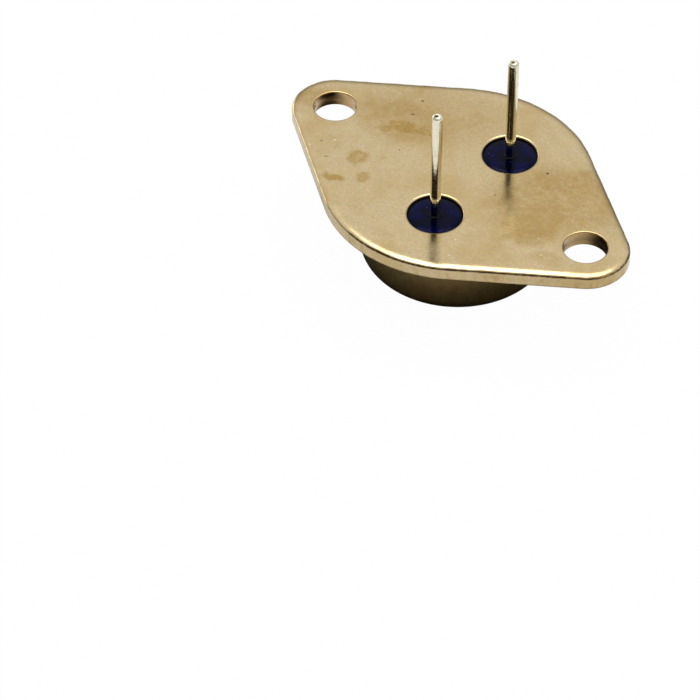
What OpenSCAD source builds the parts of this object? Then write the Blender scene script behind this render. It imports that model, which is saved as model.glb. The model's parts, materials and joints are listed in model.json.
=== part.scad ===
// Metal-can power transistor on a two-hole diamond flange.
// The seating face is the plane z = 0, and the two pins leave it along +Z.
// The can hangs below the flange, so the part stands upright on the flat top of its can.
// Sizes are in millimetres.

/* [Flange] */
// Distance between the centres of the two mounting holes
mount_hole_spacing = 30.15; // [29.5:0.05:32]
// Diameter of each mounting hole
mount_hole_d = 4.1; // [3.4:0.05:4.6]
// Width of the flange across its two round sides
flange_w = 25.6; // [25.2:0.1:27]
// Radius of the flange's two ends, about the mounting holes
flange_end_r = 4.12; // [3.6:0.02:5]
// Thickness of the flange plate
flange_t = 1.6; // [1.2:0.02:2]
// How far the rolled edge of the plate reaches in from its outline
edge_roll_w = 0.8; // [0.2:0.02:1]
// How far the rolled edge drops from each face
edge_roll_h = 0.34; // [0.1:0.02:0.4]
// How far the rolled rim of a hole reaches out from its wall
rim_roll_w = 0.22; // [0.1:0.02:0.4]
// How far the rolled rim of a hole drops from each face
rim_roll_h = 0.12; // [0.06:0.02:0.3]

/* [Boss under the can] */
// Height of the round boss that the can is welded to
boss_h = 0.36; // [0.3:0.02:0.8]
// Width of the boss's rounded shoulder
boss_shoulder_w = 0.5; // [0.2:0.05:0.6]
// Width of boss face left showing outside the can's weld flange
boss_margin = 0.25; // [0.1:0.05:0.4]

/* [Can] */
// Outer diameter of the can's drawn wall
can_d = 18.2; // [17.6:0.1:18.8]
// Height of the can, from the boss to its flat top
can_h = 7.05; // [5.6:0.05:8.5]
// Thickness of the can's sheet
can_t = 0.5; // [0.3:0.05:0.6]
// Outer radius of the can's top corner
can_corner_r = 1.3; // [0.8:0.1:2]
// Outer radius of the bend between the wall and the weld flange
can_foot_r = 0.6; // [0.3:0.05:0.8]
// How far the weld flange reaches out from the wall
weld_flange_w = 1.55; // [1.3:0.05:1.7]
// Radius of the weld flange's outer edge
weld_edge_r = 0.15; // [0.05:0.05:0.25]
// Depth of the ring that the welding electrode leaves in the weld flange
weld_ring_depth = 0.06; // [0.02:0.02:0.14]
// Width of that ring
weld_ring_w = 0.36; // [0.2:0.02:0.5]

/* [Pins] */
// Distance between the two pins
pin_spacing = 10.92; // [10:0.02:11.6]
// Distance from the flange's centre line to the line through the pins
pin_offset = 1.815; // [1:0.005:2.2]
// Diameter of the plated pin outside the glass
pin_d = 1; // [0.8:0.02:1.2]
// Thickness of the plating, which stops at the glass
pin_plating = 0.02; // [0.01:0.01:0.05]
// Length above the seating face over which the plating thins out towards the glass
pin_root_len = 1.27; // [0.8:0.01:1.4]
// Length of the emitter pin above the seating face
emitter_pin_len = 11.8; // [8:0.1:14]
// Length of the base pin above the seating face
base_pin_len = 11.2; // [8:0.1:14]
// Radius of the rounding at a pin's tip
pin_tip_r = 0.3; // [0.1:0.05:0.35]
// Diameter of the small dimple in a pin's tip
pin_dimple_d = 0.38; // [0.1:0.02:0.4]
// Depth of that dimple
pin_dimple_depth = 0.14; // [0.02:0.02:0.2]
// Length of a pin inside the can, from the boss to the bonding face of its head
pin_inner_len = 1.7; // [1.2:0.1:2.6]
// Diameter of a pin's bonding head
pin_head_d = 1.9; // [1.6:0.1:2.4]
// Thickness of a pin's bonding head
pin_head_t = 0.45; // [0.3:0.05:0.6]
// Radius of the head's edges
pin_head_edge_r = 0.12; // [0.04:0.02:0.14]

/* [Glass seals] */
// Diameter of each glass-filled hole
seal_hole_d = 5.2; // [4.4:0.1:5.4]
// Depth of the glass below each face of the header
seal_recess = 0.16; // [0.14:0.02:0.3]
// How far the glass climbs at the pin
seal_climb = 0.06; // [0.02:0.02:0.12]
// How far the glass rounds off at the hole's wall
seal_edge_drop = 0.14; // [0.04:0.02:0.2]

/* [Chip] */
// Diameter of the copper heat spreader
spreader_d = 8.4; // [7.6:0.1:9]
// Thickness of the heat spreader
spreader_t = 1; // [0.6:0.1:1.4]
// Gap between the heat spreader and the glass-filled holes
spreader_gap = 0.35; // [0.2:0.05:0.5]
// Side of the square silicon die
die_side = 4.7; // [3.8:0.1:5]
// Thickness of the die
die_t = 0.3; // [0.2:0.02:0.5]
// Width of solder left showing round the die
solder_margin = 0.12; // [0.04:0.02:0.2]
// Thickness of the solder under the die
solder_t = 0.08; // [0.04:0.02:0.14]

/* [Bond wires] */
// Diameter of each emitter wire
emitter_wire_d = 0.3; // [0.2:0.02:0.36]
// Diameter of the base wire
base_wire_d = 0.25; // [0.15:0.01:0.3]
// Height of a wire's arch above its two feet
wire_loop_h = 1.1; // [0.8:0.1:1.5]
// Length of the flattened foot at each end of a wire
wire_foot_len = 0.6; // [0.4:0.05:0.7]
// Distance between the two emitter wires
emitter_wire_gap = 0.75; // [0.65:0.05:0.85]

/* [Hidden] */
$fn = 96;

arc_steps = 8;      // straight pieces in each small rounding
ring_steps = 4;     // straight pieces across the weld ring
climb_power = 12;   // how steeply the glass climbs at the pin
drop_power = 9;     // how steeply it rounds off at the hole's wall
dimple_share = 0.95; // largest share of a pin's flat tip that its dimple takes up
cut_extra = 1;      // how far a cutter runs past the face it cuts
run_inset = 0.01;   // how far a straight edge lies inside the tangent of the two rounds it joins
run_lap = 1;        // how far a straight run reaches into the plate's core
foot_flat = 0.5;    // thickness of a wire's flattened foot, in wire diameters
foot_spread = 1.4;  // width of that foot, in wire diameters
pad_share = 0.25;   // how far a bond pad lies from the die's middle, as a share of its side

half_spacing = mount_hole_spacing / 2;
side_r = flange_w / 2;
// Angle, from the X axis, of the radii that meet the flange's straight edges
tangent_a = acos((side_r - flange_end_r) / half_spacing);
tangent_len = half_spacing * sin(tangent_a);
run_w = flange_end_r + run_lap;

header_face = -flange_t - boss_h;
can_top = header_face - can_h;
can_r = can_d / 2;
weld_flange_r = can_r + weld_flange_w;
boss_foot_r = weld_flange_r + boss_margin + boss_shoulder_w;

pin_y = pin_spacing / 2;
seal_r = seal_hole_d / 2;
pin_seal_d = pin_d - 2 * pin_plating;
pin_head_face = header_face - pin_inner_len;

// The spreader lies as close to the pins as the glass-filled holes allow
spreader_reach = seal_r + spreader_d / 2 + spreader_gap;
spreader_x = pin_offset - sqrt(pow(spreader_reach, 2) - pow(pin_y, 2));
spreader_face = header_face - spreader_t;
die_face = spreader_face - solder_t - die_t;

// Bond pads: the emitter's two lie side by side on one half of the die, the base's on the other
pad_y = die_side * pad_share;
pad_x = spreader_x + pad_y;

// Points on an arc about [x, z], from angle a to angle b
function arc(x, z, r, a, b) =
    [for (i = [0:arc_steps]) let (t = a + (b - a) * i / arc_steps) [x + r * cos(t), z + r * sin(t)]];

// A rolled corner: a quarter ellipse from the face at z to the outline at r, dropping by h
function rolled(r, z, w, h) =
    [for (i = [0:arc_steps]) let (t = 90 * i / arc_steps) [r - w + w * sin(t), z - h * (1 - cos(t))]];

function reversed(points) = [for (i = [len(points) - 1:-1:0]) points[i]];

// Section of the plate from a centre line out to its rolled edge at radius r
module plate_section(r) {
    polygon(concat([[0, 0]],
                   rolled(r, 0, edge_roll_w, edge_roll_h),
                   reversed(rolled(r, -flange_t, edge_roll_w, -edge_roll_h)),
                   [[0, -flange_t]]));
}

// A disc with rolled edges
module plate_round(r) {
    rotate_extrude() plate_section(r);
}

// The straight edge between the round side and the end nearest +X and +Y.
// It is drawn up the radius at the tangent's angle, and ends on the radii through the two centres.
module plate_run() {
    rotate([0, 0, tangent_a]) translate([side_r - run_inset - run_w, 0, 0])
        rotate([90, 0, 0]) linear_extrude(tangent_len) plate_section(run_w);
}

// The diamond plate: a disc in the middle, one about each mounting hole, four straight edges,
// and a flat core that ties them together
module plate() {
    core_r = side_r - flange_end_r;
    plate_round(side_r);
    for (side = [-1, 1]) translate([side * half_spacing, 0, 0]) plate_round(flange_end_r);
    for (mx = [0, 1], my = [0, 1]) mirror([mx, 0, 0]) mirror([0, my, 0]) plate_run();
    translate([0, 0, -flange_t]) linear_extrude(flange_t)
        polygon([for (a = [0, tangent_a, 180 - tangent_a, 180, 180 + tangent_a, -tangent_a])
                 (a % 180 == 0 ? half_spacing : core_r) * [cos(a), sin(a)]]);
}

// The round boss, with a crisp foot and a rounded shoulder
module boss() {
    rotate_extrude() polygon(concat([[0, -flange_t]],
        reversed(rolled(boss_foot_r, header_face, boss_shoulder_w, -boss_h)),
        [[0, header_face]]));
}

// Cutter for a hole with a rolled rim on the top face and on the bottom face
module rolled_hole(r, bottom) {
    rotate_extrude() polygon(concat(
        [[0, cut_extra], [r + rim_roll_w, cut_extra]],
        [for (p = rolled(0, 0, rim_roll_w, rim_roll_h)) [r - p[0], p[1]]],
        reversed([for (p = rolled(0, bottom, rim_roll_w, -rim_roll_h)) [r - p[0], p[1]]]),
        [[r + rim_roll_w, bottom - cut_extra], [0, bottom - cut_extra]]));
}

module header_flange() {
    color([0.80, 0.71, 0.55]) difference() {
        union() {
            plate();
            boss();
        }
        for (side = [-1, 1]) {
            translate([side * half_spacing, 0, 0]) rolled_hole(mount_hole_d / 2, -flange_t);
            translate([pin_offset, side * pin_y, 0]) rolled_hole(seal_r, header_face);
        }
    }
}

// The drawn can: flat top, rounded corner, straight wall, bend and weld flange
module can() {
    bend_x = can_r + can_foot_r;
    bend_z = header_face - can_t - can_foot_r;
    corner_x = can_r - can_corner_r;
    corner_z = can_top + can_corner_r;
    rim_z = header_face - can_t + weld_edge_r;
    ring_x = (bend_x + weld_flange_r - weld_edge_r) / 2;
    flange_face = header_face - can_t;
    color([0.70, 0.65, 0.50]) rotate_extrude() polygon(concat(
        [[weld_flange_r, header_face]],
        arc(weld_flange_r - weld_edge_r, rim_z, weld_edge_r, 0, -90),
        [for (i = [0:ring_steps]) let (t = i / ring_steps)
            [ring_x + weld_ring_w * (0.5 - t), flange_face + weld_ring_depth * sin(180 * t)]],
        arc(bend_x, bend_z, can_foot_r, 90, 180),
        arc(corner_x, corner_z, can_corner_r, 0, -90),
        [[0, can_top], [0, can_top + can_t]],
        arc(corner_x, corner_z, can_corner_r - can_t, -90, 0),
        arc(bend_x, bend_z, can_foot_r + can_t, 180, 90)));
}

// A pin: rounded tip with a dimple, plated shank whose plating thins out at the root, bare shank
// in the glass, and bonding head
module pin(side, free_len) {
    r = pin_d / 2;
    bare_r = pin_seal_d / 2;
    head_r = pin_head_d / 2;
    head_back = pin_head_face + pin_head_t;
    dimple_r = min(pin_dimple_d / 2, dimple_share * (r - pin_tip_r));
    translate([pin_offset, side * pin_y, 0]) rotate_extrude() polygon(concat(
        [[0, free_len - pin_dimple_depth], [dimple_r, free_len]],
        reversed(arc(r - pin_tip_r, free_len - pin_tip_r, pin_tip_r, 0, 90)),
        [[r, pin_root_len], [bare_r, 0], [bare_r, head_back]],
        reversed(arc(head_r - pin_head_edge_r, head_back - pin_head_edge_r, pin_head_edge_r, 0, 90)),
        arc(head_r - pin_head_edge_r, pin_head_face + pin_head_edge_r, pin_head_edge_r, 0, -90),
        [[0, pin_head_face]]));
}

module emitter_pin() {
    color([0.86, 0.84, 0.78]) pin(-1, emitter_pin_len);
}

module base_pin() {
    color([0.86, 0.84, 0.78]) pin(1, base_pin_len);
}

// A glass seal, sunk below both faces, that climbs at the pin and rounds off at the hole's wall
module glass_seal(side) {
    in_r = pin_seal_d / 2;
    steps = 2 * arc_steps;
    skin = [for (i = [0:steps]) let (t = i / steps)
        [in_r + (seal_r - in_r) * t,
         seal_climb * pow(1 - t, climb_power) - seal_edge_drop * pow(t, drop_power) - seal_recess]];
    color([0.05, 0.05, 0.25]) translate([pin_offset, side * pin_y, 0]) rotate_extrude()
        polygon(concat(skin, reversed([for (p = skin) [p[0], header_face - p[1]]])));
}

module emitter_glass_seal() {
    glass_seal(-1);
}

module base_glass_seal() {
    glass_seal(1);
}

module heat_spreader() {
    color([0.80, 0.47, 0.30]) translate([spreader_x, 0, spreader_face])
        cylinder(d = spreader_d, h = spreader_t);
}

// A square plate lying on the side of z that faces the can's top
module chip_layer(side, z, t) {
    translate([spreader_x - side / 2, -side / 2, z - t]) cube([side, side, t]);
}

module die_solder() {
    color([0.62, 0.63, 0.66]) chip_layer(die_side + 2 * solder_margin, spreader_face, solder_t);
}

module silicon_die() {
    color([0.33, 0.35, 0.40]) chip_layer(die_side, spreader_face - solder_t, die_t);
}

// A bond wire: an arch between two flattened feet, whose soles lie on the faces at a and b
module bond_wire(a, b, d) {
    foot_t = d * foot_flat;
    foot_w = d * foot_spread;
    from = a - [0, 0, foot_t];
    to = b - [0, 0, foot_t];
    run = norm([to[0] - from[0], to[1] - from[1]]);
    chord = norm(to - from);
    turn = atan2(to[1] - from[1], to[0] - from[0]);
    pitch = atan2(to[2] - from[2], run);
    arch_r = (pow(chord / 2, 2) + pow(wire_loop_h, 2)) / (2 * wire_loop_h);
    half_a = asin(chord / (2 * arch_r));
    color([0.88, 0.88, 0.90]) {
        // The arch lies in the upright plane through both feet and bulges towards the can's top
        translate(from) rotate([0, 0, turn]) rotate([0, -pitch, 0])
            translate([chord / 2, 0, arch_r - wire_loop_h]) rotate([90, 0, 0])
            rotate([0, 0, -90 - half_a]) rotate_extrude(angle = 2 * half_a)
            translate([arch_r, 0]) circle(d = d);
        for (end = [a, b]) translate(end - [0, 0, foot_t]) rotate([0, 0, turn])
            translate([-wire_foot_len / 2, -foot_w / 2, 0]) cube([wire_foot_len, foot_w, foot_t]);
    }
}

// The two emitter wires land side by side across the emitter pin's head
module emitter_wire(shift) {
    bond_wire([pad_x + shift, -pad_y, die_face], [pin_offset + shift, -pin_y, pin_head_face],
              emitter_wire_d);
}

module emitter_wire_near() {
    emitter_wire(emitter_wire_gap / 2);
}

module emitter_wire_far() {
    emitter_wire(-emitter_wire_gap / 2);
}

module base_wire() {
    bond_wire([pad_x, pad_y, die_face], [pin_offset, pin_y, pin_head_face], base_wire_d);
}

header_flange();
can();
emitter_pin();
base_pin();
emitter_glass_seal();
base_glass_seal();
heat_spreader();
die_solder();
silicon_die();
emitter_wire_near();
emitter_wire_far();
base_wire();
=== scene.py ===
"""Looks of a metal-can power transistor that stands on the flat top of its can, pins up.

Shapes are worked out in millimetres, in the CAD frame: the seating face is z = 0, the pins leave it
along +Z, and the two mounting holes lie on the X axis. A mesh is turned into metres as it is made.
"""
import json
import logging
import math
from collections.abc import Callable
from dataclasses import dataclass
from enum import Enum

import bmesh
import bpy
import numpy as np
from bpy.types import Material, NodeSocket as Socket, NodeTree, Object
from mathutils import Matrix, Vector
from mathutils.geometry import delaunay_2d_cdt


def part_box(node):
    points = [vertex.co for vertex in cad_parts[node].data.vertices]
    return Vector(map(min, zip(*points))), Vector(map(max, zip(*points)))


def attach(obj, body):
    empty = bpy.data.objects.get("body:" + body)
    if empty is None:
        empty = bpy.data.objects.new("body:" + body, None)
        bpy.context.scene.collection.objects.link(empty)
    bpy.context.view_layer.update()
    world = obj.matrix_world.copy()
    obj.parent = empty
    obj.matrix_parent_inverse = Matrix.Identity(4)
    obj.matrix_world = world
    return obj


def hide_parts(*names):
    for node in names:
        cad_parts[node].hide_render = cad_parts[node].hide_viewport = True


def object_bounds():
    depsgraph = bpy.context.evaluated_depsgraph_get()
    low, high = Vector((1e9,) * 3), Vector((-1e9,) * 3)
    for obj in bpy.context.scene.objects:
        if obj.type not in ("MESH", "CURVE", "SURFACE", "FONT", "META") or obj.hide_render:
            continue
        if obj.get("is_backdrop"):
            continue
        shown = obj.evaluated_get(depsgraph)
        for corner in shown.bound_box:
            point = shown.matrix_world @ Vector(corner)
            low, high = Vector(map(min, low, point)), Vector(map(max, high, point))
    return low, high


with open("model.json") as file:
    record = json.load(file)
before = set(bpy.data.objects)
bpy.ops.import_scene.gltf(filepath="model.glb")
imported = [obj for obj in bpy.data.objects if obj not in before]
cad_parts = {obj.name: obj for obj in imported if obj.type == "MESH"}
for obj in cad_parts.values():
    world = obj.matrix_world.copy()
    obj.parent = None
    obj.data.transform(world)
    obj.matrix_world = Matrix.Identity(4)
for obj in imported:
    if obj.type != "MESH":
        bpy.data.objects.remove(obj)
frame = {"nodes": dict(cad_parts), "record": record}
CAD_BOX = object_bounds()

log = logging.getLogger("power_transistor")

MM = 0.001
MOUNTS = {mount["name"]: mount for mount in frame["record"]["mounts"]}

Array = np.ndarray
Pair = tuple[float, float]
Triple = tuple[float, float, float]
Colour = Triple

WHITE: Colour = (1.0, 1.0, 1.0)


def box_mm(node: str) -> tuple[Array, Array]:
    """Lowest and highest corner of a CAD node in millimetres.

    Args:
        node: name of the CAD node.

    Returns:
        The two corners.
    """
    low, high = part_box(node)
    return np.array(low) / MM, np.array(high) / MM


# ---- Mesh tools ----


def turned(profile: Array, centre: Pair, columns: int) -> Array:
    """Carries a profile round an upright axis: x = cx + r cos a, y = cy + r sin a, z = z.

    Args:
        profile: rows of (radius, height).
        centre: where the axis stands.
        columns: points in each turn.

    Returns:
        Points as rows x columns x 3.
    """
    angle = np.linspace(0.0, 2.0 * math.pi, columns, endpoint=False)
    radius, height = profile[:, :1], profile[:, 1:2]
    return np.stack([centre[0] + radius * np.cos(angle), centre[1] + radius * np.sin(angle),
                     np.broadcast_to(height, (len(profile), columns))], axis=-1)


def rolled(width: float, drop: float, steps: int, power: float = 2.0) -> Array:
    """A rolled corner: a quarter of a superellipse that starts level and ends upright.

    Args:
        width: how far it reaches in from the edge.
        drop: how far it falls.
        steps: straight pieces in it.
        power: the superellipse's power. It is an ellipse at 2 and fuller above.

    Returns:
        Rows of (distance in from the edge, fall below the face).
    """
    turn = np.linspace(0.0, math.pi / 2, steps + 1)
    across, down = np.sin(turn) ** (2.0 / power), np.clip(np.cos(turn), 0.0, 1.0) ** (2.0 / power)
    return np.stack([width * (1.0 - across), drop * (1.0 - down)], axis=-1)


def arc(centre: Pair, radius: float, start: float, end: float, steps: int) -> Array:
    """Points on a circle between two angles.

    Args:
        centre: middle of the circle.
        radius: its radius.
        start: first angle in degrees.
        end: last angle in degrees.
        steps: straight pieces between them.

    Returns:
        Rows of (radius, height).
    """
    turn = np.radians(np.linspace(start, end, steps + 1))
    return np.stack([centre[0] + radius * np.cos(turn), centre[1] + radius * np.sin(turn)], axis=-1)


class Solid:
    """Gathers closed strips and level faces, in millimetres, and welds them into one closed mesh."""

    weld = 1e-7
    crease = math.radians(38.0)

    def __init__(self) -> None:
        """Starts with nothing in it."""
        self._points: list[Array] = []
        self._faces: list[list[int]] = []
        self._count = 0

    def _add(self, points: Array, faces: Array) -> None:
        """Adds points and faces.

        Args:
            points: n x 3.
            faces: corners of each face, counted from the first of these points.
        """
        self._points.append(points)
        self._faces += (faces + self._count).tolist()
        self._count += len(points)

    def strip(self, points: Array, ring: bool = False) -> None:
        """Adds a grid of quads whose columns close on themselves.

        Args:
            points: rows x columns x 3.
            ring: joins the last row to the first as well.
        """
        rows, columns = points.shape[:2]
        index = np.arange(rows * columns).reshape(rows, columns)
        below = np.roll(index, -1, axis=0)
        if not ring:
            index, below = index[:-1], below[:-1]
        quads = np.stack([index, np.roll(index, -1, axis=1), np.roll(below, -1, axis=1), below], axis=-1)
        self._add(points.reshape(-1, 3), quads.reshape(-1, 4))

    def level(self, outer: Array, holes: list[Array]) -> None:
        """Fills the flat area between a convex loop and the round loops inside it.

        The triangles are Delaunay's over all the points, less those whose middle lies in a hole.

        Args:
            outer: the convex loop, n x 3.
            holes: round loops of the same height.
        """
        points = np.concatenate([outer, *holes])
        rim = [list(range(len(outer)))]
        found = delaunay_2d_cdt([Vector(point) for point in points[:, :2].tolist()], [], rim, 1, 1e-6)
        flat = np.array([tuple(point) for point in found[0]])
        triangles = np.array(found[2])
        middle = flat[triangles].mean(axis=1)
        keep = np.ones(len(triangles), bool)
        for hole in holes:
            centre = hole[:, :2].mean(axis=0)
            keep &= np.linalg.norm(middle - centre, axis=1) > np.linalg.norm(hole[0, :2] - centre)
        height = np.full((len(flat), 1), outer[0, 2])
        self._add(np.hstack([flat, height]), triangles[keep])

    def build(self, name: str, material: Material) -> Object:
        """Makes the object: metres, doubles merged, faces outward, smooth but for its creases.

        Args:
            name: name of the piece.
            material: its finish.

        Returns:
            The new object, linked to the scene.
        """
        mesh = bpy.data.meshes.new(name)
        mesh.from_pydata((np.concatenate(self._points) * MM).tolist(), [], self._faces)
        work = bmesh.new()
        work.from_mesh(mesh)
        bmesh.ops.remove_doubles(work, verts=work.verts, dist=self.weld)
        bmesh.ops.recalc_face_normals(work, faces=work.faces)
        work.to_mesh(mesh)
        work.free()
        mesh.polygons.foreach_set("use_smooth", np.ones(len(mesh.polygons), bool))
        mesh.set_sharp_from_angle(angle=self.crease)
        mesh.update()
        mesh.materials.append(material)
        piece = bpy.data.objects.new(name, mesh)
        bpy.context.scene.collection.objects.link(piece)
        return piece


# ---- Material tools ----


class Value:
    """What a node gives: a number, vector, colour or shader. Arithmetic on a number adds nodes."""

    def __init__(self, graph: "Graph", socket: Socket) -> None:
        """Wraps an output of a node in a graph."""
        self.graph, self.socket = graph, socket

    def twin(self, name: str | int) -> "Value":
        """Another output of the same node."""
        return Value(self.graph, self.socket.node.outputs[name])

    def parts(self) -> tuple["Value", "Value", "Value"]:
        """The three numbers of a vector."""
        split = self.graph.step("ShaderNodeSeparateXYZ", {0: self})
        return split, split.twin(1), split.twin(2)

    def math(self, operation: str, other: "Number" = 0.0) -> "Value":
        """Adds one step of arithmetic, with a second number where it takes one."""
        return self.graph.step("ShaderNodeMath", {0: self, 1: other}, operation=operation)

    def __add__(self, other: "Number") -> "Value":
        """Adds a number."""
        return self.math("ADD", other)

    def __sub__(self, other: "Number") -> "Value":
        """Subtracts a number."""
        return self.math("SUBTRACT", other)

    def __mul__(self, other: "Number") -> "Value":
        """Multiplies by a number."""
        return self.math("MULTIPLY", other)

    def __abs__(self) -> "Value":
        """Drops the sign."""
        return self.math("ABSOLUTE")

    def reach(self, across: "Value") -> "Value":
        """Length of a flat vector: the root of the sum of its two parts' squares."""
        return (self.math("POWER", 2.0) + across.math("POWER", 2.0)).math("SQRT")

    def span(self, low: float, high: float, to_low: float = 0.0, to_high: float = 1.0) -> "Value":
        """Maps a range smoothly to another, and holds it there outside.

        Args:
            low: where the range starts. It may be above the end.
            high: where it ends.
            to_low: what the start becomes.
            to_high: what the end becomes.

        Returns:
            The mapped value.
        """
        ends = {"From Min": low, "From Max": high, "To Min": to_low, "To Max": to_high}
        return self.graph.step("ShaderNodeMapRange", {"Value": self, **ends}, "Result",
                               interpolation_type="SMOOTHSTEP")


Number = Value | float
Paint = Value | Colour


class Graph:
    """Adds nodes to a node tree, step by step."""

    def __init__(self, tree: NodeTree) -> None:
        """Works on a tree."""
        self.tree = tree

    def feed(self, target: Socket, value: Number | Colour) -> None:
        """Links a value to an input, or writes a plain one into it.

        Args:
            target: the input.
            value: what it gets. A plain colour is opaque.
        """
        if isinstance(value, Value):
            self.tree.links.new(value.socket, target)
        elif isinstance(value, tuple) and len(target.default_value) == 4:
            target.default_value = (*value, 1.0)
        else:
            target.default_value = value

    def step(self, kind: str, feeds: dict[str | int, Number | Colour], output: str | int = 0,
             **settings: str | bool) -> Value:
        """Adds a node.

        Args:
            kind: its type.
            feeds: what its inputs get.
            output: the output that is wanted.
            settings: its properties.

        Returns:
            That output.
        """
        node = self.tree.nodes.new(kind)
        for name, setting in settings.items():
            setattr(node, name, setting)
        for name, value in feeds.items():
            self.feed(node.inputs[name], value)
        return Value(self, node.outputs[output])


class Recipe(Graph):
    """Builds one material. Positions in it are the object's own, in millimetres."""

    def __init__(self, name: str) -> None:
        """Starts a material with a Principled shader.

        Args:
            name: name of the material.
        """
        self.material = bpy.data.materials.new(name)
        self.material.use_nodes = True
        super().__init__(self.material.node_tree)
        self.shader = self.tree.nodes["Principled BSDF"]
        own = self.step("ShaderNodeTexCoord", {}, "Object")
        self.place = self.step("ShaderNodeVectorMath", {0: own, "Scale": 1.0 / MM}, operation="SCALE")
        self.x, self.y, self.z = self.place.parts()

    def from_pins(self, right: float = 0.0, back: float = 0.0) -> Value:
        """Distance from the nearer pin's axis, once both are moved right along X and back along Y."""
        pin_x, pin_y = (part / MM for part in MOUNTS["base_pin"]["pos_m"][:2])
        return (self.x - (pin_x + right)).reach(abs(self.y - back) - pin_y)

    def stretched(self, scale: Triple, turn: float = 0.0) -> Value:
        """The position, turned about Z by turn degrees and scaled, for streaks and brushing."""
        turned_by = (0.0, 0.0, math.radians(turn))
        return self.step("ShaderNodeMapping", {"Vector": self.place, "Scale": scale, "Rotation": turned_by},
                         vector_type="POINT")

    def noise(self, per_mm: float, detail: float = 2.0, rough: float = 0.5,
              where: Value | None = None) -> Value:
        """Soft noise about 0.5, with per_mm features to a millimetre. Its twin "Color" is a vector."""
        return self.step("ShaderNodeTexNoise", {"Vector": where or self.place, "Scale": per_mm,
                                                "Detail": detail, "Roughness": rough})

    def specks(self, per_mm: float, size: float, share: float) -> Value:
        """Round specks on random cells.

        Args:
            per_mm: cells to a millimetre.
            size: a speck's radius as a share of its cell.
            share: how many of the cells hold one, from 0 to 1.

        Returns:
            1 inside a speck, 0 outside.
        """
        cells = self.step("ShaderNodeTexVoronoi", {"Vector": self.place, "Scale": per_mm}, "Distance",
                          feature="F1")
        draw = self.step("ShaderNodeSeparateColor", {0: cells.twin("Color")})
        return cells.span(size, size * 0.5) * draw.math("LESS_THAN", share)

    def blend(self, factor: Number, first: Paint, second: Paint, mode: str = "MIX") -> Value:
        """Mixes two colours."""
        return self.step("ShaderNodeMix", {0: factor, 6: first, 7: second}, 2,
                         data_type="RGBA", blend_type=mode, clamp_factor=True)

    def bump(self, height: Value, depth_mm: float, below: Value | None = None) -> Value:
        """Turns a height from 0 to 1 into a normal, depth_mm deep, over another normal if given."""
        feeds = {"Strength": 1.0, "Distance": depth_mm * MM, "Height": height}
        return self.step("ShaderNodeBump", feeds | ({"Normal": below} if below else {}))

    def finish(self, colour: Paint, roughness: Number, normal: Value | None = None,
               **constants: float | Colour) -> Material:
        """Feeds the shader and returns the finished material.

        Args:
            colour: base colour.
            roughness: roughness.
            normal: bumped normal, if any.
            constants: other inputs by name, with underscores for spaces, written on the shader itself.

        Returns:
            The material.
        """
        self.feed(self.shader.inputs["Base Color"], colour)
        self.feed(self.shader.inputs["Roughness"], roughness)
        if normal is not None:
            self.feed(self.shader.inputs["Normal"], normal)
        for name, value in constants.items():
            self.feed(self.shader.inputs[name.replace("_", " ")], value)
        return self.material


# ---- Finishes ----


class MarkKind(Enum):
    """What a mark on the seating face is."""

    STAIN = "stain"
    RING = "ring"
    SPECK = "speck"
    NICK = "nick"
    HAZE = "haze"


@dataclass(frozen=True)
class Mark:
    """A mark on the seating face: an ellipse about (x, y), turned by turn degrees, in millimetres."""

    kind: MarkKind
    x: float
    y: float
    long: float
    wide: float
    turn: float = 0.0
    strength: float = 1.0


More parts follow.
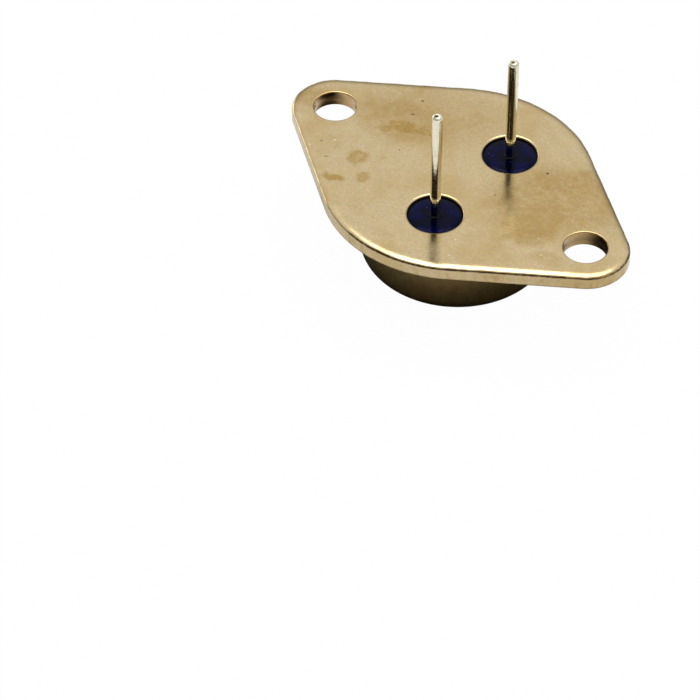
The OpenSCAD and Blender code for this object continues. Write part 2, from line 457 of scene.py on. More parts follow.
STAIN, RING, SPECK, NICK, HAZE = MarkKind
VIEW_TURN = 40.7
MARK_ROWS = (
    (STAIN, (
        (-9.2, 2.6, 4.2, 3.2, 10, 0.55), (-8.2, 2.0, 1.8, 0.9, 15, 1.1), (-9.3, 0.7, 0.9, 0.5, 50, 0.9),
        (-6.4, 2.7, 1.4, 0.5, 10, 0.9), (-11.0, 4.8, 2.4, 1.5, 40, 0.35), (-10.1, 7.3, 1.6, 0.7, 30, 0.4),
        (-8.6, -7.8, 1.2, 0.5, 25, 0.95), (-9.35, -7.75, 0.3, 0.25, 0, 0.5), (-8.0, -7.4, 0.3, 0.3, 0, 0.5),
        (-17.4, -0.6, 1.1, 0.7, 60, 0.35), (-17.5, -0.3, 2.0, 1.3, 40, 0.6), (10.4, 6.6, 2.2, 1.6, 60, 0.5),
        (-7.8, 1.7, 2.4, 0.7, 5, 0.5), (-6.9, -2.6, 0.35, 0.3, 0, 0.45), (10.6, -1.5, 2.6, 1.7, 60, 0.65),
        (13.6, -3.4, 1.7, 0.9, 20, 0.4), (9.2, 6.0, 2.8, 2.1, 100, 0.8), (9.5, 3.5, 7.0, 5.0, 40, 0.65),
        (-7.0, 5.5, 7.0, 4.0, 15, 0.35), (6.2, 1.5, 2.2, 1.0, 70, 0.3), (-4.5, 8.6, 3.2, 1.6, 20, 0.3),
        (-4.0, -9.8, 1.2, 0.7, 0, 0.2))),
    (RING, ((-8.7, -4.1, 0.95, 1.05, 0, 1.05), (-6.5, -6.0, 0.6, 0.8, 0, 0.85))),
    (SPECK, (
        (-8.75, 3.9, 0.2, 0.09, VIEW_TURN), (-11.0, -6.0, 0.24, 0.08, VIEW_TURN, 0.6),
        (-9.3, 6.0, 0.16, 0.13, 0, 0.8), (-6.4, -0.85, 0.1, 0.1, 0, 0.6), (-12.8, -4.6, 0.13, 0.13, 0, 0.5),
        (6.15, 5.65, 0.14, 0.14, 0, 1.0), (4.35, 0.15, 0.1, 0.12, 0, 0.6), (11.5, 4.3, 0.1, 0.08, 0, 0.6))),
    (NICK, (
        (-11.9, -3.7, 0.2, 0.05, 70, 0.7), (-13.3, -5.7, 0.13, 0.06, 0, 0.6),
        (12.7, -3.45, 0.12, 0.05, 60, 0.55), (11.1, -1.9, 0.09, 0.05, 60, 0.5),
        (5.5, -6.95, 0.1, 0.07, 110, 0.7), (6.4, -9.0, 0.08, 0.06, 0, 0.6))),
    (HAZE, ((7.8, -2.4, 3.6, 1.05, VIEW_TURN - 90.0, 0.8), (5.2, -9.4, 2.0, 0.7, VIEW_TURN - 90.0, 0.4))),
)
SEATING_FACE_MARKS = tuple(Mark(kind, *row) for kind, rows in MARK_ROWS for row in rows)


@dataclass(frozen=True)
class FlangeNickel:
    """Satin champagne nickel on stamped steel, mottled, with faint brown stains on the seating face."""

    pale: Colour = (0.68, 0.545, 0.335)
    warm: Colour = (0.60, 0.44, 0.215)
    stain: Colour = (0.68, 0.56, 0.30)
    grime: Colour = (0.40, 0.30, 0.16)
    green: Colour = (0.96, 1.0, 0.90)
    pink: Colour = (1.0, 0.965, 1.0)
    # colour of the painted shade on the edge's rolls
    painted_roll_shade: Colour = (0.16, 0.10, 0.045)
    fresh: Colour = (0.58, 0.40, 0.19)
    # dark colour of the painted shade on the mounting-hole walls
    painted_wall_shade: Colour = (0.22, 0.115, 0.035)
    speck: Colour = (0.12, 0.09, 0.06)
    nick: Colour = (0.98, 0.92, 0.76)
    satin: float = 0.14
    stain_satin: float = 0.06
    haze_satin: float = 0.13
    hole: Pair = (15.075, 2.05)
    marks: tuple[Mark, ...] = SEATING_FACE_MARKS

    def marked(self, recipe: Recipe, kinds: tuple[MarkKind, ...], warp_mm: float) -> Value:
        """How strongly the marks of some kinds cover a point of the seating face.

        Each mark is 1 where the position, moved by noise and measured in its own half-lengths, is
        under 0.6, and falls to 0 at 1.3. A ring is weaker in its middle. The strongest mark wins.

        Args:
            recipe: the material.
            kinds: which marks.
            warp_mm: how far noise bends their edges.

        Returns:
            The cover, from 0 to 1.
        """
        bend = recipe.noise(1.3, 3.0, 0.6).twin("Color")
        bent = recipe.step("ShaderNodeVectorMath", {0: bend, 1: (2.0 * warp_mm,) * 3, 2: recipe.place},
                           operation="MULTIPLY_ADD")
        bent = recipe.step("ShaderNodeVectorMath", {0: bent, 1: (warp_mm,) * 3}, operation="SUBTRACT")
        total: Number = 0.0
        for mark in (mark for mark in self.marks if mark.kind in kinds):
            local = recipe.step("ShaderNodeMapping", {
                "Vector": bent, "Location": (mark.x, mark.y, 0.0), "Scale": (mark.long, mark.wide, 1000.0),
                "Rotation": (0.0, 0.0, math.radians(mark.turn))}, vector_type="TEXTURE")
            reach = recipe.step("ShaderNodeVectorMath", {0: local}, "Value", operation="LENGTH")
            cover = reach.span(1.3, 0.6, 0.0, mark.strength)
            if mark.kind is RING:
                cover = cover * reach.span(0.3, 0.9, 0.65, 1.0)
            total = cover.math("MAXIMUM", total)
        return recipe.z.span(-0.6, -0.3) * total

    def hole_wall(self, recipe: Recipe) -> tuple[Value, Value]:
        """The raw walls of the two mounting holes, each darkened across the view in its own pattern as
        painted shade.

        Args:
            recipe: the material.

        Returns:
            How far a point lies on such a wall, from 0 to 1, and its colour there.
        """
        middle, radius = self.hole
        wall = (abs(recipe.x) - middle).reach(recipe.y).span(radius + 0.14, radius + 0.04) * 0.9
        local = recipe.x - recipe.x.span(-1.0, 1.0, -middle, middle)
        # slant runs across the view, left to right. The dark patch in the hole at -X and the darker right
        # end of the hole at +X are painted shade over the raw wall's own brown.
        slant = local * 0.76 + recipe.y * 0.65 + recipe.noise(0.9, 3.0, 0.6).span(0.3, 0.7, -0.4, 0.4)
        patch = abs(slant + 0.5).span(1.2, 0.2, 0.1, 0.9)
        shade_share = recipe.blend(recipe.x.span(-1.0, 1.0), patch, slant.span(-0.2, 1.5, 0.1, 0.85))
        return wall, recipe.blend(shade_share, self.fresh, self.painted_wall_shade)

    def material(self) -> Material:
        """Mottled nickel, then stains, painted shade on the edge's rolls, hole walls with painted shade,
        specks, nicks and haze.

        Returns:
            The finished material.
        """
        recipe = Recipe("champagne_nickel")
        x, z, noise, blend = recipe.x, recipe.z, recipe.noise, recipe.blend
        colour = blend(noise(0.16, 4.0, 0.6).span(0.42, 0.66), self.pale, self.warm)
        colour = blend(noise(1.1, 5.0, 0.65).span(0.35, 0.7) * 0.35, colour, self.warm)
        colour = blend(noise(3.6, 4.0, 0.75).span(0.3, 0.7, 0.0, 0.38), colour, self.grime)
        tinge = blend(noise(1.7, 4.0, 0.7).span(0.38, 0.62), self.green, self.pink)
        colour = blend(1.0, colour, tinge, "MULTIPLY")
        patchy = noise(1.6, 5.0, 0.7).span(0.3, 0.62, 0.45, 1.0)
        edge = noise(1.3, 4.0, 0.7, recipe.stretched((1.0, 1.0, 0.5))).span(0.5, 0.68, 0.0, 0.55)
        stained = self.marked(recipe, (STAIN, RING), 0.45) * patchy + edge * z.span(-0.3, -0.6)
        colour = blend(stained, colour, blend(1.0, colour, self.stain, "MULTIPLY"))
        # Painted shade: a broken dark band low on the upper roll, fading out towards -X, and another on the
        # lower roll just above the face under the plate.
        line = z.span(-0.08, -0.14) * z.span(-0.34, -0.24) * x.span(-6.0, -1.0)
        foot = z.span(-1.25, -1.45) * z.span(-1.7, -1.6)
        roll_shade_cover = (line + foot) * noise(1.9, 4.0, 0.7).span(0.38, 0.58, 0.35, 0.95)
        colour = blend(roll_shade_cover, colour, self.painted_roll_shade)
        wall, wall_colour = self.hole_wall(recipe)
        colour = blend(wall, colour, wall_colour)
        loose = recipe.specks(0.9, 0.09, 0.16) * 0.45
        colour = blend(self.marked(recipe, (SPECK,), 0.05).math("MAXIMUM", loose), colour, self.speck)
        colour = blend(self.marked(recipe, (NICK,), 0.05), colour, self.nick)
        satin = noise(0.7, 4.0, 0.6).span(0.3, 0.7, -0.03, 0.04) + self.satin + stained * self.stain_satin
        satin = satin + self.marked(recipe, (HAZE,), 0.25) * self.haze_satin
        normal = recipe.bump(noise(7.0, 3.0, 0.6), 0.003)
        normal = recipe.bump(noise(0.55, 2.0, 0.5), 0.01, normal)
        return recipe.finish(colour, satin, normal, Metallic=1.0)


@dataclass(frozen=True)
class CanNickel:
    """Satin nickel on drawn steel: finely speckled, with draw lines on the wall and a brushed flat top."""

    pale: Colour = (0.43, 0.32, 0.125)
    olive: Colour = (0.42, 0.275, 0.105)
    pit: Colour = (0.15, 0.11, 0.06)
    satin: float = 0.22

    def material(self) -> Material:
        """Cloudy nickel with speckle, blotches and pits, brushed and drawn.

        Returns:
            The finished material.
        """
        recipe = Recipe("drawn_can_nickel")
        noise, blend = recipe.noise, recipe.blend
        colour = blend(noise(0.3, 4.0, 0.6).span(0.35, 0.68), self.pale, self.olive)
        colour = blend(noise(5.5, 3.0, 0.75).span(0.42, 0.68) * 0.4, colour, self.olive)
        colour = blend(noise(1.2, 5.0, 0.75).span(0.42, 0.7, 0.0, 0.38), colour, self.pit)
        colour = blend(recipe.specks(2.2, 0.13, 0.2) * 0.55, colour, self.pit)
        brushing = noise(1.0, 3.0, 0.6, recipe.stretched((9.0, 0.35, 1.0), 38.0))
        satin = brushing.span(0.3, 0.7, -0.04, 0.05) + self.satin
        normal = recipe.bump(noise(6.0, 3.0, 0.65), 0.003)
        normal = recipe.bump(noise(1.0, 2.0, 0.5, recipe.stretched((5.0, 5.0, 0.25))), 0.0012, normal)
        return recipe.finish(colour, satin, normal, Metallic=1.0)


@dataclass(frozen=True)
class BrightPin:
    """Bright nickel on alloy wire, with fine nodules and a few handling marks."""

    silver: Colour = (0.90, 0.86, 0.68)
    dull: Colour = (0.66, 0.59, 0.40)
    # handling marks, and also the painted shade beside each tip's dimple
    mark: Colour = (0.12, 0.10, 0.06)
    gloss: float = 0.075
    tip_dullness: float = 0.35
    tip_shade: Triple = (-0.03, -0.14, 0.24)

    def material(self) -> Material:
        """Worn silver with marks, painted shade as a dark spot beside each tip's dimple, and drawn nodules.

        Returns:
            The finished material.
        """
        recipe = Recipe("bright_pin_nickel")
        noise, blend = recipe.noise, recipe.blend
        colour = blend(noise(1.4, 4.0, 0.65).span(0.45, 0.72) * 0.55, self.silver, self.dull)
        colour = blend(recipe.specks(3.2, 0.2, 0.22) * 0.75, colour, self.mark)
        # Painted shade: the dark mark colour on a ragged spot beside each tip's dimple, at the tip's top.
        right, back, radius = self.tip_shade
        ragged = recipe.from_pins(right, back) + noise(5.0, 3.0, 0.6).span(0.3, 0.7, -0.07, 0.07)
        colour = blend(ragged.span(radius, 0.5 * radius) * recipe.z.span(10.6, 10.8), colour, self.mark)
        gloss = noise(3.0, 3.0, 0.6).span(0.3, 0.7, -0.02, 0.05) + self.gloss
        facing_up = recipe.step("ShaderNodeNewGeometry", {}, "Normal").parts()[2]
        gloss = gloss + facing_up.span(0.1, 0.5, 0.0, self.tip_dullness)
        normal = recipe.bump(noise(5.0, 4.0, 0.65), 0.007)
        normal = recipe.bump(noise(1.0, 2.0, 0.5, recipe.stretched((9.0, 9.0, 0.3))), 0.003, normal)
        return recipe.finish(colour, gloss, normal, Metallic=1.0)


@dataclass(frozen=True)
class SealGlass:
    """Glossy sealing glass, so dark a blue that it shows only in what it reflects."""

    body: Colour = (0.0006, 0.0008, 0.006)
    glow: Colour = (0.0008, 0.0016, 0.04)
    bubble: Colour = (0.02, 0.06, 0.30)
    gleam: Colour = (0.012, 0.018, 0.3)
    gloss: float = 0.05

    def material(self) -> Material:
        """Dark glass with a smoky glow between pin and wall, near-black next to the pin and the wall as
        painted shade, and a few bubbles.

        Returns:
            The finished material.
        """
        recipe = Recipe("dark_blue_seal_glass")
        noise, blend = recipe.noise, recipe.blend
        reach = recipe.from_pins()
        # Painted shade: the glow is kept off the glass next to the pin and next to the wall, which stay
        # near-black.
        inside = reach.span(0.8, 1.7) * reach.span(2.4, 2.15)
        colour = blend(noise(0.9, 3.0, 0.6).span(0.36, 0.62) * inside, self.body, self.glow)
        colour = blend(recipe.specks(1.7, 0.12, 0.14), colour, self.bubble)
        gloss = noise(2.2, 3.0, 0.6).span(0.35, 0.7, 0.0, 0.05) + self.gloss
        normal = recipe.bump(noise(0.9, 3.0, 0.6), 0.03)
        return recipe.finish(colour, gloss, normal, IOR=1.3, Specular_Tint=self.gleam)


@dataclass(frozen=True)
class PlainMetal:
    """A hidden metal with an even grain: copper, solder or drawn aluminium."""

    name: str
    base: Colour
    shade: Colour
    roughness: float
    grain: Triple = (2.0, 2.0, 2.0)

    def material(self) -> Material:
        """One grain for colour, roughness and bump.

        Returns:
            The finished material.
        """
        recipe = Recipe(self.name)
        grain = recipe.noise(1.0, 4.0, 0.6, recipe.stretched(self.grain))
        colour = recipe.blend(grain.span(0.35, 0.7), self.base, self.shade)
        rough = grain.span(0.3, 0.7, -0.04, 0.06) + self.roughness
        return recipe.finish(colour, rough, recipe.bump(grain, 0.004), Metallic=1.0)


@dataclass(frozen=True)
class ChipSilicon:
    """Polished silicon under aluminium fingers that run side by side to two bond pads."""

    silicon: Colour = (0.10, 0.11, 0.15)
    metal: Colour = (0.75, 0.75, 0.77)
    finger_pitch: float = 0.36

    def material(self) -> Material:
        """Fingers as a back-and-forth wave along X.

        Returns:
            The finished material.
        """
        recipe = Recipe("metallised_silicon")
        wave = recipe.x.math("PINGPONG", self.finger_pitch / 2)
        finger = wave.span(self.finger_pitch * 0.2, self.finger_pitch * 0.24)
        colour = recipe.blend(finger, self.silicon, self.metal)
        return recipe.finish(colour, recipe.noise(1.5).span(0.3, 0.7, 0.16, 0.26), Metallic=0.8)


# ---- Sub-assemblies ----


@dataclass(frozen=True)
class Outline:
    """The diamond outline, as a point that swings about a moving centre.

    Each point lies at centre + radius (cos a, sin a), and (cos a, sin a) is also the way the edge
    faces there, so a profile that steps in from the edge only makes the radius smaller.
    """

    centre: Array
    radius: Array
    angle: Array

    @classmethod
    def diamond(cls, half_spacing: float, side_r: float, end_r: float) -> "Outline":
        """Works out the outline of two small rounds on the X axis and a big one in the middle.

        A quarter turn is an arc about an end, a straight run on which centre and radius both change
        evenly, and an arc about the middle, of 28, 29 and 24 points. The other quarters mirror it.

        Args:
            half_spacing: distance from the middle to an end's centre.
            side_r: radius of the big round.
            end_r: radius of the small rounds.

        Returns:
            The outline.
        """
        end, run, side = 28, 29, 24
        lean = math.acos((side_r - end_r) / half_spacing)
        along = np.linspace(1.0, 0.0, run + 1)[1:]
        centre = np.concatenate([np.ones(end), along, np.zeros(side)]) * half_spacing
        radius = np.concatenate([np.full(end, end_r), side_r + (end_r - side_r) * along,
                                 np.full(side, side_r)])
        angle = np.concatenate([np.linspace(0.0, lean, end), np.full(run, lean),
                                np.linspace(lean, math.pi / 2, side + 1)[1:]])
        whole = [(centre, radius, angle), (-centre[::-1], radius[::-1], math.pi - angle[::-1]),
                 (-centre, radius, math.pi + angle), (centre[::-1], radius[::-1], 2 * math.pi - angle[::-1])]
        joined = [np.concatenate([quarter[part][:-1] for quarter in whole]) for part in range(3)]
        return cls(*joined)

    def carry(self, inset: Array, height: Array) -> Array:
        """Carries a profile round the outline.

        Args:
            inset: steps in from the edge, rows, or rows x columns.
            height: heights, likewise.

        Returns:
            Points as rows x columns x 3.
        """
        inset, height = (part[:, None] + np.zeros(len(self.angle)) if part.ndim == 1 else part
                         for part in (inset, height))
        reach = self.radius - inset
        return np.stack([self.centre + reach * np.cos(self.angle), reach * np.sin(self.angle), height],
                        axis=-1)

    def length(self) -> Array:
        """Distance walked round the outline at each point."""
        points = self.carry(np.zeros(1), np.zeros(1))[0]
        return np.concatenate([[0.0], np.cumsum(np.linalg.norm(np.diff(points, axis=0), axis=1))])


@dataclass
class HeaderFlange:
    """The stamped diamond header with its rolled edges, four holes and the round boss under it."""

    half_spacing: float = MOUNTS["mounting_holes"]["dims"]["spacing_x_mm"] / 2
    hole_r: float = MOUNTS["mounting_holes"]["dims"]["hole_r_mm"]
    plate_t: float = 1.6
    edge_roll: Pair = (0.9, 0.35)
    edge_power: float = 2.5
    hole_roll: Pair = (0.14, 0.09)
    seal_roll: Pair = (0.24, 0.13)
    boss_foot_r: float = 11.4
    boss_shoulder: float = 0.5
    foot_fillet: float = 0.05
    shelf: float = 0.06
    shear_at: float = 0.62
    shear_run: float = 0.3
    shear_in: float = 0.015
    tear_at: float = 0.55
    tear_run: float = 0.04
    tear_out: float = 0.02
    gap: float = 0.02
    waves: tuple[Triple, ...] = ((0.07, 1.9, 0.0), (0.05, 4.3, 1.0), (0.03, 9.1, 2.0))
    roll_steps: int = 16
    hole_columns: int = 96
    boss_columns: int = 192
    finish: FlangeNickel = FlangeNickel()

    def edge(self, outline: Outline) -> Array:
        """The plate's edge: roll, upright wall with a shallow shear step, and roll.

        The roll's fall swells and shrinks by a few hundredths of a millimetre along the edge, as
        three slow waves, which breaks up the line where it meets the wall.

        Args:
            outline: the plate's outline.

        Returns:
            Points as rows x columns x 3, from the seating face to the face under it.
        """
        width, drop = self.edge_roll
        upper = rolled(width, drop, self.roll_steps, self.edge_power)
        walk = outline.length()
        swell = 1.0 + sum(size * np.sin(walk * pace + start) for size, pace, start in self.waves)
        shear_z, under = -self.plate_t * self.shear_at, -self.plate_t
        inset = np.concatenate([[width + self.shelf], upper[:, 0], [0.0, self.shear_in, self.shear_in],
                                upper[::-1, 0], [width + self.shelf]])
        level = np.concatenate([[0.0], -upper[:, 1], [shear_z + self.shear_run, shear_z],
                                [under + drop + self.gap], under + upper[::-1, 1], [under]])
        height = np.repeat(level[:, None], len(walk), axis=1)
        rows = slice(1, 1 + len(upper))
        height[rows] *= swell
        return outline.carry(inset, height)

    def hole(self, centre: Pair, radius: float, roll: Pair, bottom: float) -> Array:
        """A punched hole: rolled rim, burnished wall, slightly wider torn wall, and rolled lower rim.

        Args:
            centre: the hole's centre.
            radius: its radius.
            roll: width and drop of its rims.
            bottom: height of its lower mouth.

        Returns:
            Points as rows x columns x 3, from the upper mouth to the lower one.
        """
        width, drop = roll
        rim = rolled(width, drop, self.roll_steps)
        tear_z, tear = bottom * self.tear_at, self.tear_out
        upper = np.stack([radius + rim[:, 0], -rim[:, 1]], axis=-1)
        wall = np.array([[radius, tear_z + self.tear_run], [radius + tear, tear_z]])
        lower = np.stack([radius + tear + rim[::-1, 0], bottom + rim[::-1, 1]], axis=-1)
        first, last = [[radius + width + self.shelf, 0.0]], [[radius + tear + width + self.shelf, bottom]]
        return turned(np.concatenate([first, upper, wall, lower, last]), centre, self.hole_columns)

    def boss(self, face: float) -> Array:
        """The round boss: a small fillet at its foot and a rounded shoulder.

        Args:
            face: height of the boss's face.

        Returns:
            Points as rows x columns x 3, from the plate to the boss's face.
        """
        foot, fillet = self.boss_foot_r, self.foot_fillet
        shoulder = rolled(self.boss_shoulder, -self.plate_t - face - fillet, self.roll_steps)[::-1]
        root = arc((foot + fillet, -self.plate_t - fillet), fillet, 90.0, 180.0, 4)
        rows = [[[foot + fillet + self.shelf, -self.plate_t]], root,
                np.stack([foot - shoulder[:, 0], face + shoulder[:, 1]], axis=-1)[1:],
                [[foot - self.boss_shoulder - self.shelf, face]]]
        return turned(np.concatenate(rows), (0.0, 0.0), self.boss_columns)

    def build(self, pins: list["ContactPin"]) -> Object:
        """Builds and dresses the header.

        Args:
            pins: the pins whose glass-filled holes it has.

        Returns:
            The piece.
        """
        low, high = box_mm("header_flange")
        outline = Outline.diamond(self.half_spacing, high[1], high[0] - self.half_spacing)
        seal_r = box_mm("base_glass_seal")[1][0] - pins[0].x
        edge = self.edge(outline)
        mounting = [self.hole((side * self.half_spacing, 0.0), self.hole_r, self.hole_roll, -self.plate_t)
                    for side in (-1, 1)]
        seals = [self.hole((pin.x, pin.y), seal_r, self.seal_roll, low[2]) for pin in pins]
        boss = self.boss(low[2])
        solid = Solid()
        for strip in (edge, *mounting, *seals, boss):
            solid.strip(strip)
        solid.level(edge[0], [strip[0] for strip in (*mounting, *seals)])
        solid.level(edge[-1], [strip[-1] for strip in mounting] + [boss[0]])
        solid.level(boss[-1], [strip[-1] for strip in seals])
        piece = solid.build("dressed_header_flange", self.finish.material())
        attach(piece, "root")
        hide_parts("header_flange")
        return piece


@dataclass
class Can:
    """The drawn can: flat top, rounded corner, wall, foot bend and weld flange with its turned rings."""

    sheet_t: float = 0.5
    corner_r: float = 1.3
    foot_r: float = 0.6
    wall_r: float = 9.1
    edge_r: float = 0.15
    ring_depth: float = 0.06
    ring_w: float = 0.36
    line_depth: float = 0.008
    line_pitch: float = 0.16
    columns: int = 256
    finish: CanNickel = CanNickel()

    def profile(self, low: float, high: float, reach: float) -> Array:
        """The section from the middle of the flat top, out over the weld flange, and back inside.

        On the weld flange the face dips in one broad half wave where the electrode pressed, and
        fine lines run round it as a cosine of the radius.

        Args:
            low: height of the flat top.
            high: height of the face that meets the boss.
            reach: radius of the weld flange.

        Returns:
            Rows of (radius, height).
        """
        corner = (self.wall_r - self.corner_r, low + self.corner_r)
        bend = (self.wall_r + self.foot_r, high - self.sheet_t - self.foot_r)
        face = high - self.sheet_t
        radius = np.linspace(bend[0] + 0.02, reach - self.edge_r - 0.02, 60)
        middle = (radius[0] + radius[-1]) / 2
        across = np.clip((radius - middle) / self.ring_w + 0.5, 0.0, 1.0)
        lines = 0.5 - 0.5 * np.cos(2 * math.pi * (radius - radius[0]) / self.line_pitch)
        dips = self.ring_depth * np.sin(math.pi * across) + self.line_depth * lines
        return np.concatenate([
            [[0.0, low], [corner[0] - 0.1, low]],
            arc(corner, self.corner_r, -90.0, 0.0, 20),
            [[self.wall_r, (corner[1] + bend[1]) / 2]],
            arc(bend, self.foot_r, 180.0, 90.0, 14),
            np.stack([radius, face + dips], axis=-1),
            arc((reach - self.edge_r, face + self.edge_r), self.edge_r, -90.0, 0.0, 8),
            [[reach, high]],
            arc(bend, self.foot_r + self.sheet_t, 90.0, 180.0, 8),
            arc(corner, self.corner_r - self.sheet_t, 0.0, -90.0, 8),
            [[0.0, low + self.sheet_t]]])

    def build(self) -> Object:
        """Builds and dresses the can.

        Returns:
            The piece.
        """
        low, high = box_mm("can")
        solid = Solid()
        solid.strip(turned(self.profile(low[2], high[2], high[0]), (0.0, 0.0), self.columns))
        piece = solid.build("dressed_can", self.finish.material())
        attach(piece, "root")
        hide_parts("can")
        return piece


@dataclass
class ContactPin:
    """A pin: domed tip with a ragged dimple, plated shank, bare shank in the glass and bonding head."""

    name: str
    plating: float = 0.02
    root_len: float = 1.27
    tip_r: float = 0.3
    dimple_r: float = 0.17
    dimple_depth: float = 0.2
    head_r: float = 0.95
    head_t: float = 0.45
    head_edge: float = 0.12
    columns: int = 64

    @property
    def x(self) -> float:
        """Where the pin stands along X."""
        return MOUNTS[self.name]["pos_m"][0] / MM

    @property
    def y(self) -> float:
        """Where the pin stands along Y."""
        return MOUNTS[self.name]["pos_m"][1] / MM

    @property
    def radius(self) -> float:
        """Radius of the plated shank."""
        return MOUNTS[self.name]["dims"]["r_mm"]

    @property
    def bare_r(self) -> float:
        """Radius of the shank in the glass, where the plating stops."""
        return self.radius - self.plating

    def profile(self, low: float, high: float) -> Array:
        """The section from the dimple in the tip down to the bonding head.

        The tip's roll is a quarter circle. The dimple is a cosine bowl.

        Args:
            low: height of the bonding face.
            high: height of the tip.

        Returns:
            Rows of (radius, height).
        """
        bowl = np.linspace(0.0, self.dimple_r, 9)
        depth = self.dimple_depth * (0.5 + 0.5 * np.cos(math.pi * bowl / self.dimple_r))
        shank = np.linspace(high - self.tip_r, self.root_len, 60)[1:]
        back = low + self.head_t
        return np.concatenate([
            np.stack([bowl, high - depth], axis=-1),
            arc((self.radius - self.tip_r, high - self.tip_r), self.tip_r, 90.0, 0.0, 12),
            np.stack([np.full(len(shank), self.radius), shank], axis=-1),
            [[self.bare_r, 0.0], [self.bare_r, back]],
            arc((self.head_r - self.head_edge, back - self.head_edge), self.head_edge, 90.0, 0.0, 5),
            arc((self.head_r - self.head_edge, low + self.head_edge), self.head_edge, 0.0, -90.0, 5),
            [[0.0, low]]])

    def build(self, material: Material) -> Object:
        """Builds and dresses the pin.

        Args:
            material: the finish that both pins share.

        Returns:
            The piece.
        """
        low, high = box_mm(self.name)
        solid = Solid()
        solid.strip(turned(self.profile(low[2], high[2]), (self.x, self.y), self.columns))
        piece = solid.build(f"dressed_{self.name}", material)
        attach(piece, "root")
        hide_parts(self.name)
        return piece


@dataclass
class GlassSeal:
    """The glass between a pin and the header: it climbs a little at the pin and rounds off at the wall."""

    pin: ContactPin
    node: str
    sink: float = 0.16
    climb: float = 0.06
    climb_w: float = 0.12
    fall: float = 0.15
    fall_power: float = 6.0
    columns: int = 96

    def skin(self, seal_r: float) -> Array:
        """The glass's outer face, from the pin to the wall.

        Below its level the face falls by a high power of the way across, and above it rises at the
        pin as an exponential.

        Args:
            seal_r: radius of the hole.

        Returns:
            Rows of (radius, depth below the seating face).
        """
        across = np.sin(np.linspace(0.0, math.pi / 2, 48))
        radius = self.pin.bare_r + (seal_r - self.pin.bare_r) * across
        rise = self.climb * np.exp(-(radius - self.pin.bare_r) / self.climb_w)
        return np.stack([radius, self.sink - rise + self.fall * across ** self.fall_power], axis=-1)

    def build(self, material: Material) -> Object:
        """Builds and dresses the seal.

        Args:
            material: the finish that both seals share.

        Returns:
            The piece.
        """
        high = box_mm(self.node)[1]
        header = box_mm("header_flange")[0]
        skin = self.skin(high[0] - self.pin.x)
        section = np.concatenate([skin * (1.0, -1.0), (skin + (0.0, header[2]))[::-1]])
        solid = Solid()
        solid.strip(turned(section, (self.pin.x, self.pin.y), self.columns), ring=True)
        piece = solid.build(f"dressed_{self.node}", material)
        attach(piece, "root")
        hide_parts(self.node)
        return piece


@dataclass
class ChipStack:
    """What the can hides: spreader, solder, chip and bond wires, which stay the CAD's own solids."""

    copper: PlainMetal = PlainMetal("spreader_copper", (0.80, 0.42, 0.27), (0.62, 0.30, 0.18), 0.3)
    solder: PlainMetal = PlainMetal("die_solder_film", (0.56, 0.57, 0.60), (0.42, 0.43, 0.46), 0.42)
    wire: PlainMetal = PlainMetal("bond_wire_aluminium", (0.88, 0.88, 0.89), (0.74, 0.74, 0.76), 0.26,
                                  (9.0, 9.0, 9.0))
    silicon: ChipSilicon = ChipSilicon()

    def dress(self) -> None:
        """Gives each hidden CAD node its own material."""
        wire = self.wire.material()
        finishes = {"heat_spreader": self.copper.material(), "die_solder": self.solder.material(),
                    "silicon_die": self.silicon.material(), "emitter_wire_near": wire,
                    "emitter_wire_far": wire, "base_wire": wire}
        for node, material in finishes.items():
            mesh = frame["nodes"][node].data
            mesh.materials.clear()
            mesh.materials.append(material)
            log.info("dressed %s", node)


# ---- Studio ----


def direction(azimuth: float, elevation: float) -> Vector:
    """The way towards a point seen at an azimuth from -Y and an elevation above the horizon, in degrees."""
    turn, lift = math.radians(azimuth), math.radians(elevation)
    return Vector((math.sin(turn) * math.cos(lift), -math.cos(turn) * math.cos(lift), math.sin(lift)))


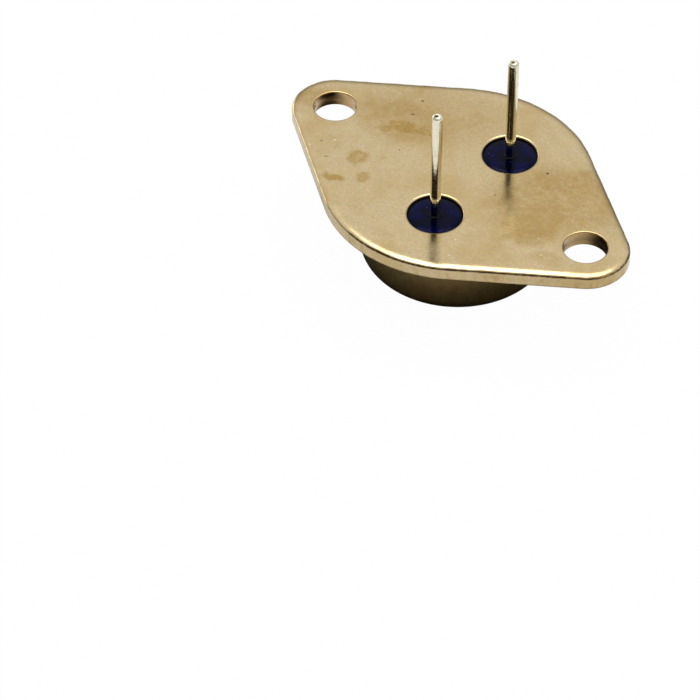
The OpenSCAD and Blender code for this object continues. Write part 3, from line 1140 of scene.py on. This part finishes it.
@dataclass(frozen=True)
class StudioSky:
    """A mid-grey room with a soft box high behind the part, a window at the left and a blind in front."""

    key_azimuth: float = 220.7
    key_elevation: float = 86.0
    box_elevation: float = 70.0
    horizon: float = 0.42
    middle: float = 0.98
    overhead: float = 3.4
    below: float = 0.5
    side_azimuth: float = -96.0
    side_elevation: float = 9.0
    side: float = 1.6
    shade_azimuth: float = 12.0
    shade: float = 0.02

    def build(self) -> None:
        """Sets up the world.

        The light from a direction is a smooth ramp of the cosine to a point near the zenith, plus a
        steeper ramp for a soft box beside it and one for a window at the side. A blind dims the
        camera side between two heights, where ramps of three cosines overlap. A little light comes
        from below, for the face that the part stands on. The camera sees plain white instead.
        """
        world = bpy.data.worlds.new("studio")
        bpy.context.scene.world = world
        world.use_nodes = True
        nodes, graph = world.node_tree.nodes, Graph(world.node_tree)
        way = graph.step("ShaderNodeTexCoord", {}, "Generated")

        def ramp(axis: Vector, *ends: float) -> Value:
            """Maps the cosine between the light's way and an axis, as Value.span does."""
            cosine = graph.step("ShaderNodeVectorMath", {0: way, 1: axis}, "Value", operation="DOT_PRODUCT")
            return cosine.span(*ends)

        up = direction(0.0, 90.0)
        room = ramp(direction(self.key_azimuth, self.key_elevation), 0.35, 0.78, self.horizon, self.middle)
        soft_box = ramp(direction(self.key_azimuth, self.box_elevation), 0.93, 0.98, 0.0, self.overhead)
        window = ramp(direction(self.side_azimuth, self.side_elevation), 0.93, 0.985, 0.0, self.side)
        under = ramp(-up, 0.0, 0.4, 0.0, self.below)
        blind = ramp(direction(self.shade_azimuth, 0.0), 0.12, 0.42)
        blind = blind * (ramp(up, 0.4, 0.56) * ramp(up, 0.92, 0.82))
        dim = graph.step("ShaderNodeMapRange", {"Value": blind, "To Min": 1.0, "To Max": self.shade},
                         "Result")
        studio = nodes["Background"]
        graph.feed(studio.inputs["Color"], WHITE)
        graph.feed(studio.inputs["Strength"], ((room + soft_box) + (window + under)) * dim)
        plain = graph.step("ShaderNodeBackground", {"Color": WHITE})
        seen = graph.step("ShaderNodeLightPath", {}, "Is Camera Ray")
        both = graph.step("ShaderNodeMixShader", {0: seen, 1: Value(graph, studio.outputs[0]), 2: plain})
        graph.feed(nodes["World Output"].inputs["Surface"], both)


@dataclass(frozen=True)
class StudioFloor:
    """A white table that keeps a faint shadow: part matt paint with a painted shadow round the part, part
    plain white to the camera.
    """

    radius: float = 1.0
    paint: Colour = (0.93, 0.93, 0.93)
    # painted shadow: the paint's colour close round the part, seen mostly in the metal's reflections
    painted_shadow: Colour = (0.09, 0.09, 0.09)
    painted_shadow_reach: Pair = (8.2, 19.0)
    white_to_camera: float = 0.985
    lift_mm: float = 0.01
    columns: int = 96

    def build(self, height: float) -> None:
        """Builds the floor.

        Args:
            height: where the object stands, in metres. The floor lies a hair above it, so that
                the face that the part stands on can be seen from below.
        """
        height += self.lift_mm * MM
        rim = turned(np.array([[self.radius, height]]), (0.0, 0.0), self.columns)[0]
        mesh = bpy.data.meshes.new("studio_floor")
        mesh.from_pydata(rim.tolist(), [], [list(range(self.columns))])
        floor = bpy.data.objects.new("studio_floor", mesh)
        bpy.context.scene.collection.objects.link(floor)
        mesh.materials.append(self.material())
        floor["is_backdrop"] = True

    def material(self) -> Material:
        """White paint with a painted shadow under the part, that glows white to the camera and is clear from
        below.

        Returns:
            The finished material.
        """
        recipe = Recipe("studio_floor_white")
        # Painted shadow: the paint darkens round the part's axis, most near the can.
        paint = recipe.blend(recipe.x.reach(recipe.y).span(*self.painted_shadow_reach), self.painted_shadow, self.paint)
        recipe.finish(paint, recipe.noise(0.05).span(0.3, 0.7, 0.85, 0.95))
        painted = Value(recipe, recipe.shader.outputs[0])
        shine = recipe.step("ShaderNodeLightPath", {}, "Is Camera Ray") * self.white_to_camera
        glow = recipe.step("ShaderNodeEmission", {"Strength": 1.0})
        lit = recipe.step("ShaderNodeMixShader", {0: shine, 1: painted, 2: glow})
        behind = recipe.step("ShaderNodeNewGeometry", {}, "Backfacing")
        clear = recipe.step("ShaderNodeBsdfTransparent", {})
        both = recipe.step("ShaderNodeMixShader", {0: behind, 1: lit, 2: clear})
        recipe.feed(recipe.tree.nodes["Material Output"].inputs["Surface"], both)
        return recipe.material


@dataclass(frozen=True)
class StudioCamera:
    """The camera, at the photograph's viewing angle. Lengths in millimetres, angles in degrees."""

    azimuth: float = 40.747
    elevation: float = 44.191
    roll: float = 0.124
    distance: float = 331.956
    target: Triple = (7.666, -24.183, 0.0)
    focal_px: float = 3753.962
    frame_px: float = 700.0
    sensor: float = 36.0

    def build(self) -> None:
        """Makes the camera and hands it to the scene."""
        data = bpy.data.cameras.new("studio_camera")
        data.sensor_width = self.sensor
        data.lens = self.sensor * self.focal_px / self.frame_px
        data.clip_start, data.clip_end = 0.01, 10.0
        camera = bpy.data.objects.new("studio_camera", data)
        bpy.context.scene.collection.objects.link(camera)
        back = direction(self.azimuth, self.elevation)
        level = Vector((math.cos(math.radians(self.azimuth)), math.sin(math.radians(self.azimuth)), 0.0))
        upright = back.cross(level)
        cosine, sine = math.cos(math.radians(self.roll)), math.sin(math.radians(self.roll))
        right, up = cosine * level + sine * upright, cosine * upright - sine * level
        place = (Vector(self.target) + back * self.distance) * MM
        camera.matrix_world = Matrix.Translation(place) @ Matrix((right, up, back)).transposed().to_4x4()
        bpy.context.scene.camera = camera


def write_sizes(low_high: Callable[[], tuple[Vector, Vector]]) -> None:
    """Works out the CAD's box and the dressed model's box, in metres; the result is not kept.

    Args:
        low_high: gives the dressed model's two corners.
    """
    boxes = {"cad": [list(corner) for corner in CAD_BOX], "visual": [list(corner) for corner in low_high()]}


def main() -> None:
    """Builds the studio and the transistor, piece by piece."""
    logging.basicConfig(level=logging.INFO, format="%(name)s: %(message)s")
    bpy.context.scene.view_settings.view_transform = "Standard"
    StudioCamera().build()
    StudioSky().build()
    StudioFloor().build(CAD_BOX[0].z)
    pins = [ContactPin("emitter_pin"), ContactPin("base_pin")]
    pieces = [HeaderFlange().build(pins), Can().build()]
    nickel, glass = BrightPin().material(), SealGlass().material()
    pieces += [pin.build(nickel) for pin in pins]
    seals = ("emitter_glass_seal", "base_glass_seal")
    pieces += [GlassSeal(pin, node).build(glass) for pin, node in zip(pins, seals)]
    for piece in pieces:
        log.info("built %s with %d faces", piece.name, len(piece.data.polygons))
    ChipStack().dress()
    write_sizes(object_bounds)


if __name__ == "__main__":
    main()
